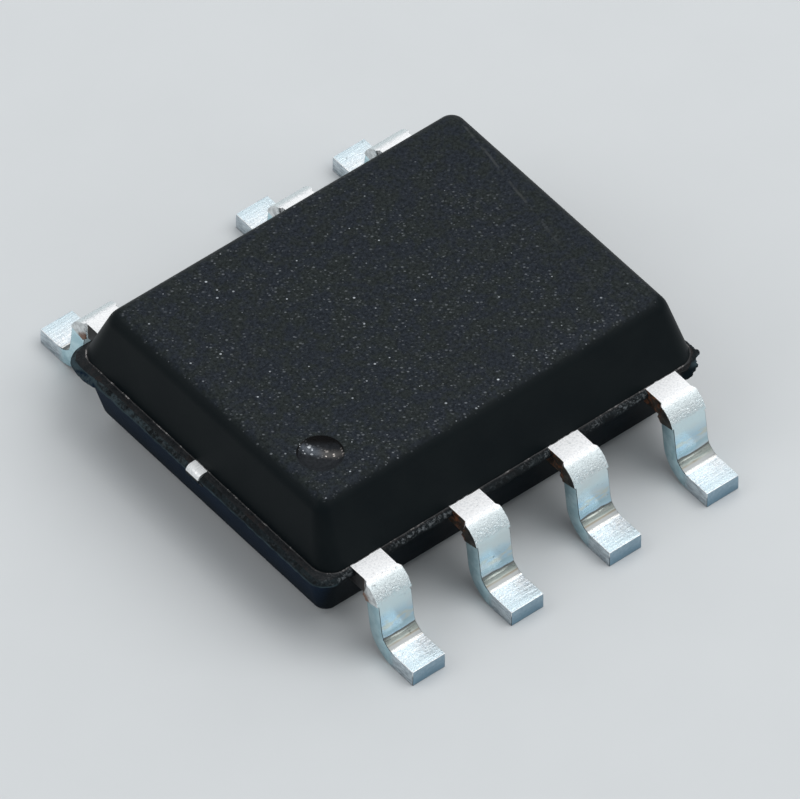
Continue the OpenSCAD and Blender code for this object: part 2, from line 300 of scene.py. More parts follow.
def compound_ledge():
    """The ledge at the parting plane: matt and rough, with pale crumbs along the front."""
    material, w = new_material("compound_ledge")
    at, _, y, _ = w.place()
    grain = w.use(GRAIN, Place=at, Size=24.0)
    rag = w.noise(at, 16.0, 5.0, 0.78)
    blotch = w.ramp(w.noise(at, 4.0, 4.0, 0.7), 0.50, 0.62)
    base = w.mix(w.ramp(rag, 0.35, 0.68), (0.0078, 0.0102, 0.0120), (0.0235, 0.0250, 0.0270))
    base = w.mix(w.times(blotch, 0.6), base, (0.0190, 0.0135, 0.0125))
    base, crumb = crumbs(w, at, base, w.ramp(y, -1.90, -2.00))
    height = w.plus(grain.outputs["Height"], rag, w.times(crumb, 1.5))
    surface(w, base, 0.66, (height, 0.8, 0.016), Specular_IOR_Level=0.16)
    return material


def compound_bead():
    """The fine bead of flash where the two halves meet: glossy, with a broken painted highlight along it."""
    material, w = new_material("compound_bead")
    at, _, y, _ = w.place()
    broken = w.times(w.ramp(w.noise(at, 8.0, 5.0, 0.85), 0.52, 0.62), w.ramp(y, -2.0, 1.6, 0.50, 1.0))
    # the pale colour is a painted highlight, broken by noise
    base = w.mix(broken, (0.012, 0.013, 0.014), (0.34, 0.32, 0.31))
    surface(w, base, 0.35, Specular_IOR_Level=0.30)
    return material


def compound_lower():
    """The lower half: dark and smooth, with a ragged scuffed band under the lip and a painted blue reflection on
    its −X end.
    """
    material, w = new_material("compound_lower")
    at, x, y, z = w.place()
    grain = w.use(GRAIN, Place=at, Size=35.0)
    rag = w.noise(at, 9.0, 7.0, 0.80)
    end = w.ramp(w.size(x), LOWER_HALF.x - 0.20, LOWER_HALF.x - 0.06)
    wander = w.wander(at, 0.22, 3.5, 5.0, 0.75)
    # the band reaches lowest at the back of the short ends
    back = w.times(end, w.ramp(y, -1.0, 1.4))
    foot = w.ramp(back, 0.0, 1.0, PARTING - 0.14, PARTING - 0.24, "LINEAR")
    worn = w.times(w.ramp(w.minus(w.plus(z, wander), foot), -0.07, 0.05), w.ramp(end, 0.0, 1.0, 0.45, 1.0))
    scuff = w.times(w.ramp(rag, 0.40, 0.62), worn, w.ramp(back, 0.0, 1.0, 0.6, 1.0))
    spot = w.times(w.ramp(rag, 0.63, 0.70), worn, 0.6)
    front = w.mix(grain.outputs["Patch"], (0.0010, 0.0038, 0.0064), (0.0018, 0.0052, 0.0082))
    # short is a painted blue reflection, laid on the −X end where cool is 1
    short = w.mix(grain.outputs["Patch"], (0.0016, 0.0088, 0.0215), (0.0024, 0.0108, 0.0265))
    cool = w.ramp(x, 0.06 - LOWER_HALF.x, 0.20 - LOWER_HALF.x, 1.0, 0.0)
    base = w.mix(w.ramp(z, PARTING - 0.10, PARTING - 0.06), w.mix(cool, front, short), (0.0095, 0.0110, 0.0120))
    base = w.mix(scuff, base, w.mix(back, (0.022, 0.032, 0.037), (0.046, 0.064, 0.072)))
    base = w.mix(spot, base, (0.14, 0.16, 0.17))
    # the rim of the lip on the short ends
    rim = w.band(w.plus(z, w.times(wander, 0.10)), PARTING - 0.082, PARTING - 0.052, 0.012)
    rim = w.times(rim, end, w.ramp(w.noise(at, 2.4, 4.0, 0.7), 0.30, 0.60, 0.35, 1.0))
    base = w.mix(rim, base, (0.044, 0.068, 0.080))
    base, _ = crumbs(w, at, base, w.ramp(z, PARTING - 0.065, PARTING - 0.030), w.ramp(y, -1.90, -2.00, 0.22, 1.0))
    height = w.plus(w.times(grain.outputs["Height"], 0.3), w.times(rag, worn, 2.0))
    surface(w, base, w.ramp(worn, 0.0, 1.0, 0.46, 0.62), (height, 0.5, 0.014), Specular_IOR_Level=0.03)
    return material


def compound_dimple():
    """Bowl of the dimple: the top's grain, painted shade on the far wall, and a painted highlight band of crowded
    glints over the floor.
    """
    material, w = new_material("compound_dimple")
    at, x, y, _ = w.place()
    cos, sin = math.cos(math.radians(GLINT_WAY)), math.sin(math.radians(GLINT_WAY))
    east, north = w.minus(x, DIMPLE_AT.x), w.minus(y, DIMPLE_AT.y)
    along = w.plus(w.times(east, cos / DIMPLE_R), w.times(north, sin / DIMPLE_R))
    back = w.plus(w.times(east, -sin / DIMPLE_R), w.times(north, cos / DIMPLE_R))
    rag = w.noise(at, 30.0, 4.0, 0.8)
    # the belt is a painted highlight band across the floor of the bowl
    middle = w.plus(back, w.times(along, 0.23), w.times(w.minus(rag, 0.5), 0.35))
    belt = w.band(middle, 0.20, 0.44, 0.22)
    arm = w.plus(w.times(along, along), w.times(back, back))
    # far is painted shade: the far wall and the rim round it are darkened
    far = w.ramp(w.plus(w.times(back, 0.80), w.times(arm, 0.20)), 0.54, 0.84)
    far = w.math("MAXIMUM", far, w.times(w.ramp(arm, 0.84, 0.99), w.ramp(back, -0.40, 0.10)))
    crowd = w.use(GLINTS, Place=w.lay(at, GLINT_WAY, 1.5), Cells=35.0, Share=0.85, Radius=0.60).outputs[0]
    mottle = w.ramp(w.noise(at, 22.0, 4.0, 0.75), 0.30, 0.70)
    base = w.mix(mottle, (0.0100, 0.0118, 0.0138), (0.0215, 0.0240, 0.0280))
    # the belt's colour is a painted reflection, cooler at one end and warmer at the other
    floor = w.mix(w.ramp(along, -0.3, 0.3), (0.110, 0.130, 0.160), (0.110, 0.102, 0.096))
    base = w.mix(far, w.mix(w.times(belt, 0.8), base, floor), (0.0030, 0.0028, 0.0030))
    # painted glints crowd in the belt, cool white at one end and warm at the other
    glint = w.times(crowd, belt, w.ramp(along, 0.80, -0.50, 1.3, 2.6), clamp=True)
    base = w.mix(glint, base, w.mix(w.ramp(along, -0.2, 0.3), (0.92, 0.96, 1.0), (0.90, 0.82, 0.76)))
    surface(w, base, w.ramp(belt, 0.0, 1.0, 0.55, 0.34), (w.plus(rag, crowd), 0.5, 0.008),
            Specular_IOR_Level=w.ramp(belt, 0.0, 1.0, 0.08, 0.30))
    return material


# ---------------------------------------------------------------- finishes of the metal and of what is inside

def tin_face():
    """Plated faces of a lead: sparkling on the shoulder and the foot, burnished and banded on the slope, its
    blue-grey tones a painted reflection.
    """
    material, w = new_material("tin_face")
    at, _, y, z = w.place()
    out = w.size(y)
    tool = w.use(TOOL_LINES, Place=at, Fine=42.0)
    lines, grain = tool.outputs["Lines"], tool.outputs["Grain"]
    high = w.plus(z, w.wander(at, 0.07, 3.0))
    low = w.ramp(z, 0.25, 0.22)
    shoulder = w.ramp(w.plus(high, w.times(w.minus(grain, 0.5), 0.25)), 0.70, 0.89)
    foot = w.times(w.ramp(out, 2.645, 2.652), low)
    sparkle = w.plus(shoulder, foot, clamp=True)
    # the burnished slope, from the leg down to the start of the foot; its blue-grey tones and blue band are painted
    # reflection
    slope = w.mix(w.ramp(high, 0.46, 0.66), (0.45, 0.63, 0.74), (0.66, 0.80, 0.83))
    cloud = w.ramp(w.noise(w.stretch(at, (1, 1, 2.0)), 2.6, 3.0), 0.44, 0.64, 0.0, 0.6)
    slope = w.mix(cloud, slope, (0.66, 0.72, 0.72))
    patch = w.ramp(w.noise(w.stretch(at, (1, 1, 3.0)), 6.0, 3.0), 0.44, 0.58)
    slope = w.mix(w.times(patch, 0.8, w.band(high, 0.38, 0.50, 0.03)), slope, (0.60, 0.62, 0.54))
    slope = w.mix(w.times(w.band(high, 0.315, 0.375, 0.015), 0.6), slope, (0.37, 0.53, 0.58))
    # the tread low on it, between two dark lines
    streaks = w.noise(w.stretch(at, (0.10, 1.0, 1.0)), 40.0, 3.0)
    tread = w.mix(w.ramp(streaks, 0.38, 0.62), (0.22, 0.255, 0.24), (0.30, 0.325, 0.30))
    tread = w.mix(w.ramp(z, 0.240, 0.220), tread, (0.21, 0.22, 0.22))
    slope = w.mix(w.ramp(high, 0.284, 0.274), slope, tread)
    slope = w.mix(w.times(w.band(high, 0.277, 0.299, 0.007), 0.9), slope, (0.13, 0.115, 0.09))
    crease = w.times(w.band(z, 0.225, 0.235, 0.004), w.ramp(w.noise(at, 2.2, 2.0), 0.40, 0.55, 0.1, 0.8))
    slope = w.mix(crease, slope, (0.16, 0.135, 0.10))
    # the shoulder, the bend and the foot
    white = w.mix(w.ramp(grain, 0.36, 0.60), (0.74, 0.77, 0.79), (1.0, 1.0, 1.0))
    tint = w.times(w.ramp(w.noise(at, 26.0, 3.0), 0.40, 0.62), w.times(foot, 0.30))
    white = w.mix(tint, white, (0.60, 0.72, 0.82))
    # on the flat shoulder the tin is made pure white and less metallic: tin's own whiteness, partly painted light
    # that lifts it out of the body's shade
    level = w.times(shoulder, w.ramp(out, 2.20, 2.36, 1.0, 0.0))
    white = w.mix(w.times(level, 0.75), white, (1.0, 1.0, 1.0))
    white = w.mix(w.times(foot, w.ramp(out, 2.70, 3.0, 0.18, 0.80)), white, (0.60, 0.74, 0.80))
    bend = w.times(w.band(out, 2.30, 2.46, 0.04), shoulder)
    white = w.mix(bend, white, (0.66, 0.73, 0.74))
    # pits, and the bright start of the foot
    pits = w.times(w.ramp(w.noise(at, 24.0, 4.0, 0.75), 0.62, 0.70), w.ramp(w.noise(at, 5.0, 2.0), 0.50, 0.62))
    base = w.mix(w.times(pits, w.times(sparkle, 0.55)), w.mix(sparkle, slope, white), (0.34, 0.34, 0.33))
    base = w.mix(w.times(w.band(out, 2.644, 2.662, 0.004), low), base, (0.99, 0.97, 0.93))
    rough = w.plus(w.times(sparkle, w.ramp(grain, 0.3, 0.7, 0.02, 0.22)), 0.17)
    rough = w.plus(rough, w.times(w.band(z, 0.200, 0.262, 0.010), w.minus(0.16, w.times(sparkle, 0.16))))
    coarse = w.minus(w.ramp(sparkle, 0.0, 1.0, 0.04, 1.0), w.times(foot, 0.40))
    height = w.plus(w.times(grain, coarse), w.times(lines, w.ramp(foot, 0.0, 1.0, 0.12, 0.7)))
    height = w.times(w.minus(height, w.times(pits, 0.4)), w.minus(1.0, w.times(level, 0.45)))
    dull = w.math("MAXIMUM", w.times(level, 0.43), w.times(bend, 0.28))
    surface(w, base, rough, (height, 0.9, 0.012), Metallic=w.minus(w.ramp(sparkle, 0.0, 1.0, 1.0, 0.50), dull))
    return material


def side_tin(w, at, y, z):
    """Colour, roughness and height of the smeared tin on the sides of a lead below the cut tie."""
    foot = w.times(w.ramp(w.size(y), 2.60, 2.72), w.ramp(z, 0.34, 0.24))
    streak = w.noise(w.stretch(at, (1.0, 0.30, 1.0)), 34.0, 4.0, 0.7)
    # the blue of the leg and the tread is a painted reflection
    leg = w.mix(w.ramp(w.noise(at, 7.0, 2.0), 0.40, 0.60), (0.47, 0.69, 0.76), (0.62, 0.84, 0.90))
    tread = w.mix(w.ramp(streak, 0.38, 0.62), (0.40, 0.46, 0.50), (0.68, 0.75, 0.79))
    fleck = w.times(w.ramp(w.noise(at, 60.0, 3.0, 0.8), 0.66, 0.72), foot)
    base = w.mix(fleck, w.mix(foot, leg, tread), (0.98, 0.98, 0.97))
    return base, w.ramp(foot, 0.0, 1.0, 0.18, 0.36), w.times(streak, w.ramp(foot, 0.0, 1.0, 0.10, 1.0))


def above_cut(w, at, y, z):
    """1 above the cut through the tie, which crosses a lead's side on a line out of the bend's centre."""
    rise = w.times(w.minus(w.size(y), SHOULDER_AT.y), math.tan(math.radians(STUB_TO)))
    line = w.minus(z, SHOULDER_AT.z, rise)
    return w.ramp(w.plus(line, w.wander(at, 0.03, 14.0)), -0.004, 0.004)


def tin_side():
    """Sheared tip of a lead."""
    material, w = new_material("tin_side")
    at, _, y, z = w.place()
    base, rough, height = side_tin(w, at, y, z)
    # painted blue reflection, strongest low on the tip
    base = w.mix(w.ramp(z, 0.02, 0.16, 0.95, 0.70), base, (0.22, 0.36, 0.46))
    surface(w, base, rough, (height, 0.6, 0.010), Metallic=1.0)
    return material


def tin_edge():
    """Rounded edges of a lead: burred and bright on the foot and the shoulder, painted dark down the leg as the
    shade of its outline.
    """
    material, w = new_material("tin_edge")
    at, _, y, z = w.place()
    burr = w.noise(at, 40.0, 4.0, 0.75)
    foot = w.times(w.ramp(w.size(y), 2.66, 2.74), w.ramp(z, 0.12, 0.17))
    bright = w.plus(w.ramp(z, 0.74, 0.84), foot, clamp=True)
    # down the leg the edges take a painted shade, which draws the lead's dark outline
    base = w.mix(bright, (0.075, 0.090, 0.100), (0.96, 0.96, 0.95))
    base = w.mix(w.times(w.ramp(burr, 0.58, 0.66), 0.5), base, (0.50, 0.54, 0.56))
    surface(w, base, w.ramp(burr, 0.35, 0.65, 0.24, 0.42), (burr, 0.7, 0.010), Metallic=1.0)
    return material


def resin_and_shade_side():
    """Front row's sides towards a neighbour: dark compound and painted shade, with rust, above the cut tie, tin
    below.
    """
    material, w = new_material("resin_and_shade_on_lead")
    at, _, y, z = w.place()
    tin, tin_rough, tin_height = side_tin(w, at, y, z)
    cut = above_cut(w, at, y, z)
    rag = w.noise(at, 16.0, 5.0, 0.75)
    rust = w.times(w.ramp(rag, 0.50, 0.60), w.ramp(w.size(y), 2.24, 2.32, 1.0, 0.0))
    # dark is resin on the lead and painted shade between neighbouring leads
    dark = w.mix(w.ramp(w.noise(at, 10.0, 4.0), 0.38, 0.62), (0.015, 0.014, 0.012), (0.050, 0.047, 0.038))
    base = w.mix(cut, tin, w.mix(rust, dark, (0.24, 0.090, 0.040)))
    below = w.minus(1.0, cut)
    rough = w.plus(w.times(cut, 0.34), w.times(tin_rough, below))
    height = w.plus(tin_height, w.times(rag, cut, 2.0))
    surface(w, base, rough, (height, 0.6, 0.012), Metallic=below, Specular_IOR_Level=0.3)
    return material


def sheared_side():
    """All other sides: bare sheared metal above the cut tie, brown along its lower edge, painted shade at the root
    by the body, and tin below.
    """
    material, w = new_material("sheared_side")
    at, _, y, z = w.place()
    tin, tin_rough, tin_height = side_tin(w, at, y, z)
    cut = above_cut(w, at, y, z)
    out, up = w.minus(w.size(y), SHOULDER_AT.y), w.minus(z, SHOULDER_AT.z)
    arm = w.math("SQRT", w.plus(w.times(out, out), w.times(up, up)))
    rag = w.wander(at, 0.12, 18.0, 4.0, 0.75)
    brown = w.ramp(w.plus(arm, rag), 0.17, 0.115)
    root = w.ramp(w.plus(w.size(y), w.times(rag, 0.3)), 2.215, 2.232, 1.0, 0.0)
    streak = w.ramp(w.noise(w.stretch(at, (1, 0.4, 0.4)), 30.0, 3.0), 0.40, 0.62)
    shear = w.mix(brown, w.mix(streak, (0.58, 0.60, 0.60), (0.84, 0.86, 0.86)), (0.22, 0.125, 0.085))
    # root and dark are painted shade on the side next to the body
    dark = w.mix(w.ramp(w.size(y), 2.17, 2.23), (0.006, 0.0057, 0.006), (0.036, 0.024, 0.017))
    base = w.mix(cut, tin, w.mix(root, shear, dark))
    metal = w.minus(1.0, w.times(cut, w.math("MAXIMUM", brown, root), 0.9))
    rough = w.plus(w.times(cut, 0.40), w.times(tin_rough, w.minus(1.0, cut)))
    surface(w, base, rough, (tin_height, 0.6, 0.010), Metallic=metal, Specular_IOR_Level=0.3)
    return material


def tinned_bar():
    """The paddle and its bars: bare copper alloy inside, smeared tin on top of the cut ends."""
    material, w = new_material("bar_end")
    at, x, _, z = w.place()
    outer = w.ramp(w.size(x), UPPER_HALF.x - 0.06, UPPER_HALF.x - 0.04)
    lines = w.noise(w.stretch(at, (0.10, 1.0, 1.0)), 70.0, 2.0)
    rolled = w.noise(w.stretch(at, (0.05, 1.0, 1.0)), 20.0, 3.0)
    copper = w.mix(rolled, (0.60, 0.34, 0.20), (0.72, 0.44, 0.28))
    tin = w.mix(w.ramp(lines, 0.35, 0.6), (0.86, 0.88, 0.88), (1.0, 1.0, 0.99))
    below = w.times(outer, w.ramp(z, PARTING - 0.060, PARTING - 0.068))
    dark = w.mix(rolled, (0.008, 0.011, 0.014), (0.026, 0.028, 0.030))
    droop = w.ramp(z, PARTING - 0.002, PARTING - 0.008)
    metal = w.minus(1.0, w.times(outer, w.ramp(droop, 0.0, 1.0, 0.90, 0.45)))
    surface(w, w.mix(below, w.mix(outer, copper, tin), dark), w.ramp(below, 0.0, 1.0, 0.36, 0.60),
            (lines, 0.6, 0.010), Metallic=w.minus(metal, below, clamp=True),
            Specular_IOR_Level=w.ramp(below, 0.0, 1.0, 0.5, 0.1))
    return material


def silver_glue():
    material, w = new_material("silver_adhesive")
    flakes = w.noise(w.place()[0], 40.0, 4.0)
    base = w.mix(flakes, (0.30, 0.31, 0.32), (0.62, 0.63, 0.64))
    surface(w, base, 0.5, (flakes, 0.5, 0.010), Metallic=0.6)
    return material


def die_silicon():
    """Polished silicon, with a fine level pattern of metal tracks on its top."""
    material, w = new_material("silicon_die")
    at = w.place()[0]
    tracks = w.node("ShaderNodeTexBrick", {"Vector": at, "Scale": 9.0, "Mortar Size": 0.03,
                                           "Color1": (0.16, 0.19, 0.24, 1), "Color2": (0.22, 0.26, 0.30, 1),
                                           "Mortar": (0.50, 0.48, 0.42, 1)})
    surface(w, tracks.outputs[0], w.ramp(w.noise(at, 6.0, 2.0), 0.3, 0.7, 0.12, 0.24), Metallic=0.5)
    return material


def gold_wire():
    material, w = new_material("gold_wire")
    drawn = w.noise(w.place()[0], 60.0, 2.0)
    base = w.mix(drawn, (0.80, 0.56, 0.20), (0.92, 0.70, 0.32))
    surface(w, base, w.ramp(drawn, 0.3, 0.7, 0.2, 0.32), Metallic=1.0)
    return material


# ---------------------------------------------------------------- shaping helpers

def verts_of(geom):
    return [g for g in geom if isinstance(g, bmesh.types.BMVert)]


def edges_of(geom):
    return [g for g in geom if isinstance(g, bmesh.types.BMEdge)]


def faces_of(geom):
    return [g for g in geom if isinstance(g, bmesh.types.BMFace)]


def round_off(bm, geom, offset, segments, affect="EDGES", material=-1):
    bmesh.ops.bevel(bm, geom=geom, offset=offset, offset_type="OFFSET", segments=segments, profile=0.5,
                    affect=affect, clamp_overlap=affect == "EDGES", material=material)


def drawn_on(bm, edges):
    """Extrudes a loop of edges: its new vertices, its new faces and the new loop."""
    made = bmesh.ops.extrude_edge_only(bm, edges=edges)["geom"]
    verts = verts_of(made)
    fresh = set(verts)
    return verts, faces_of(made), [e for e in edges_of(made) if e.verts[0] in fresh and e.verts[1] in fresh]


def add_object(name, data):
    made = bpy.data.objects.new(name, data)
    bpy.context.scene.collection.objects.link(made)
    return made


def finish(bm, name, materials, nodes, sharp=40):
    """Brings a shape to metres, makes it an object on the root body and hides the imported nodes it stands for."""
    bmesh.ops.remove_doubles(bm, verts=bm.verts, dist=1e-5)
    bmesh.ops.recalc_face_normals(bm, faces=bm.faces)
    bmesh.ops.scale(bm, vec=(MM, MM, MM), verts=bm.verts)
    mesh = bpy.data.meshes.new(name)
    bm.to_mesh(mesh)
    bm.free()
    for material in materials:
        mesh.materials.append(material)
    mesh.shade_smooth()
    mesh.set_sharp_from_angle(angle=math.radians(sharp))
    piece = add_object(name, mesh)
    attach(piece, "root")
    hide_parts(*nodes)
    return piece


# ---------------------------------------------------------------- the moulded body

TOP_SKIN, LEDGE_SKIN, BEAD_SKIN, LOWER_SKIN, DIMPLE_SKIN = range(5)
CORNER_PARTS = 14
SIDE_CUTS, END_CUTS = 280, 240
LOBE_AT = Vector((-2.46, 2.00, PARTING))       # the lip stands out and hangs down a little here
HANG_AT = Vector((-2.53, 1.74, PARTING))       # and hangs further down beside it
FLAP_AT = Vector((2.24, -2.07, PARTING))       # and here, beside the last lead of the front row
TORN_AT = Vector((2.42, -2.00, PARTING))       # the lip is torn away round this corner
TIP_AT = Vector((2.48, -1.91, PARTING))        # a sharp tip left beside the tear


def drawn_in(h, height, draft, edge_r):
    """How far a drafted face with a rounded far edge has drawn in at height h of its full height."""
    tan, sin, cos = (f(math.radians(draft)) for f in (math.tan, math.sin, math.cos))
    level = height - edge_r
    if h <= level + edge_r * sin:
        return h * tan
    return level * tan + edge_r / cos - math.sqrt(max(0.0, edge_r ** 2 - (h - level) ** 2))


def half_levels(height, drafts, edge_r, face_steps=5, edge_steps=12):
    """Heights up a drafted half, from its foot to the end of its rounded edge."""
    start = math.radians(min(drafts))
    foot = height - edge_r + edge_r * math.sin(start)
    levels = [foot * k / face_steps for k in range(1, face_steps)]
    for k in range(edge_steps + 1):
        turn = start + (math.pi / 2 - start) * k / edge_steps
        levels.append(height - edge_r + edge_r * math.sin(turn))
    return levels


def outline(mid, half, radius, less_x=0.0, less_y=0.0):
    """A rounded rectangle: its middle, half length and half width, and the radius of its corners."""
    return mid.x, mid.y, half.x - less_x, half.y - less_y, radius


def lower_outline(h, out=0.0):
    return outline(LIP_MID, LOWER_HALF, CORNER_R + (FAR_CORNER_R - CORNER_R) * h / LOWER_H,
                   drawn_in(h, LOWER_H, LOWER_DRAFTS[0], BOTTOM_EDGE_R) - out,
                   drawn_in(h, LOWER_H, LOWER_DRAFTS[1], BOTTOM_EDGE_R) - out)


def upper_outline(h, out=0.0):
    return outline(UPPER_MID, UPPER_HALF, CORNER_R + (FAR_CORNER_R - CORNER_R) * h / UPPER_H,
                   drawn_in(h, UPPER_H, UPPER_DRAFTS[0], TOP_EDGE_R) - out,
                   drawn_in(h, UPPER_H, UPPER_DRAFTS[1], TOP_EDGE_R) - out)


def lip_outline(inward=0.0):
    return outline(LIP_MID, LIP_HALF, LIP_R - inward, inward, inward)


def near(at, centre, reach):
    return math.exp(-((at - centre).length / reach) ** 2)


def lip_wear(at):
    """How far the worn lip stands out at a place, and how far it hangs down there."""
    lobe = near(at, LOBE_AT, 0.14)
    hang = 0.020 * lobe + 0.085 * near(at, HANG_AT, 0.20) + 0.090 * near(at, FLAP_AT, 0.15)
    torn = near(at, TORN_AT, 0.13)
    crumbs = noise.noise(at * 38) * 0.6 + noise.noise(at * 90) * 0.4
    chips = max(0.0, noise.noise(at * 4.5 + Vector((7, 0, 0))) - 0.28) * 0.05
    return 0.030 * lobe + torn * (0.060 * crumbs - 0.030) + 0.045 * near(at, TIP_AT, 0.03) - chips, hang


def set_ring(verts, layers, shape, z, ragged=0.0, uneven=0.0, wear=0.0, notch=False, seed=0.0):
    """Places a ring: ragged moves it in and out, uneven up and down, wear adds the lip's own damage, and notch
    lets it down where a tie bar crosses it."""
    mid_x, mid_y, x, y, r = shape
    cx, cy, ox, oy = layers
    for v in verts:
        out = Vector((v[ox], v[oy], 0))
        v.co = Vector((mid_x + v[cx] * (x - r), mid_y + v[cy] * (y - r), z)) + out * r
        if ragged:
            fine = noise.noise(v.co * 9 + Vector((seed, 0, 0))) * 0.5
            fine += noise.noise(v.co * 24 + Vector((0, seed, 0))) * 0.3 + noise.noise(v.co * 60) * 0.2
            v.co -= out * ragged * (0.5 + fine)
        if uneven:
            v.co.z += uneven * (noise.noise(v.co * 14 + Vector((0, 0, seed))) + 0.5 * noise.noise(v.co * 40))
        if wear:
            outward, hang = lip_wear(Vector((v.co.x, v.co.y, PARTING)))
            v.co += out * outward * wear
            v.co.z -= hang * wear
            v.co.x = max(LIP_MID.x - LIP_HALF.x, min(LIP_MID.x + LIP_HALF.x, v.co.x))
            v.co.y = max(LIP_MID.y - LIP_HALF.y, min(LIP_MID.y + LIP_HALF.y, v.co.y))
        if notch and abs(v.co.y) < 0.11:
            v.co.z -= max(0.0, abs(v.co.x - UPPER_MID.x) - UPPER_HALF.x) * 0.55


def first_ring(bm, shape, z):
    """A rounded rectangle as a ring of edges. Each vertex keeps where it belongs on any such ring."""
    x, y, r = shape[2:]
    corners = [bm.verts.new((sx * x, sy * y, 0)) for sx, sy in ((-1, -1), (1, -1), (1, 1), (-1, 1))]
    bm.faces.new(corners)
    round_off(bm, corners, r, CORNER_PARTS, "VERTICES")
    bmesh.ops.delete(bm, geom=bm.faces[:], context="FACES_ONLY")
    for cuts, axis in ((SIDE_CUTS, 0), (END_CUTS, 1)):
        straight = [e for e in bm.edges if abs(e.verts[0].co[axis] - e.verts[1].co[axis]) > 1.0]
        bmesh.ops.subdivide_edges(bm, edges=straight, cuts=cuts)
    layers = [bm.verts.layers.float.new(n) for n in ("core_x", "core_y", "out_x", "out_y")]
    for v in bm.verts:
        core_x = max(-1.0, min(1.0, v.co.x / (x - r)))
        core_y = max(-1.0, min(1.0, v.co.y / (y - r)))
        v[layers[0]], v[layers[1]] = core_x, core_y
        v[layers[2]] = (v.co.x - core_x * (x - r)) / r
        v[layers[3]] = (v.co.y - core_y * (y - r)) / r
    set_ring(bm.verts, layers, shape, z)
    return bm.edges[:], layers


def next_ring(bm, ring, layers, skin, shape, z, **rough):
    """Draws the skin on from one ring to the next and returns the new ring."""
    verts, faces, ring = drawn_on(bm, ring)
    for face in faces:
        face.material_index = skin
    set_ring(verts, layers, shape, z, **rough)
    return ring


def circle_edges(bm, segments, radius, centre):
    circle = bmesh.ops.create_circle(bm, segments=segments, radius=radius,
                                     matrix=Matrix.Translation(centre))["verts"]
    return list({e for v in circle for e in v.link_edges})


def sink_dimple(bm, ring):
    """Closes the top round the dimple: its rounded rim, then a bowl that is flat-floored along GLINT_WAY."""
    radius = DIMPLE_R + DIMPLE_LIP * 1.6
    rim_edges = circle_edges(bm, 72, radius, DIMPLE_AT)
    fill = bmesh.ops.triangle_fill(bm, edges=ring + rim_edges, use_beauty=True, normal=UP)
    for face in faces_of(fill["geom"]):
        face.material_index = TOP_SKIN
    steps = [(DIMPLE_R + DIMPLE_LIP, 0.0)]
    rim_drop = DIMPLE_LIP * 0.5
    steps += [(DIMPLE_R + DIMPLE_LIP * (1 - k / 4), rim_drop * (k / 4) ** 2) for k in range(1, 5)]
    steps += [(DIMPLE_R * (1 - k / 22), None) for k in range(1, 22)]
    loop = rim_edges
    for k, (r, depth) in enumerate(steps):
        verts, faces, loop = drawn_on(bm, loop)
        for v in verts:
            flat = (v.co - DIMPLE_AT) * (r / radius)
            drop = depth
            if drop is None:
                along = math.cos(math.atan2(flat.y, flat.x) - math.radians(GLINT_WAY)) ** 2
                drop = rim_drop + (DIMPLE_DEPTH - rim_drop) * (1 - (r / DIMPLE_R) ** (2.0 + 1.6 * along))
            v.co = Vector((DIMPLE_AT.x + flat.x, DIMPLE_AT.y + flat.y, TOP - drop))
        radius = r
        for face in faces:
            face.material_index = TOP_SKIN if k < 3 else DIMPLE_SKIN
    bmesh.ops.pointmerge(bm, verts=verts, merge_co=DIMPLE_AT - Vector((0, 0, DIMPLE_DEPTH)))


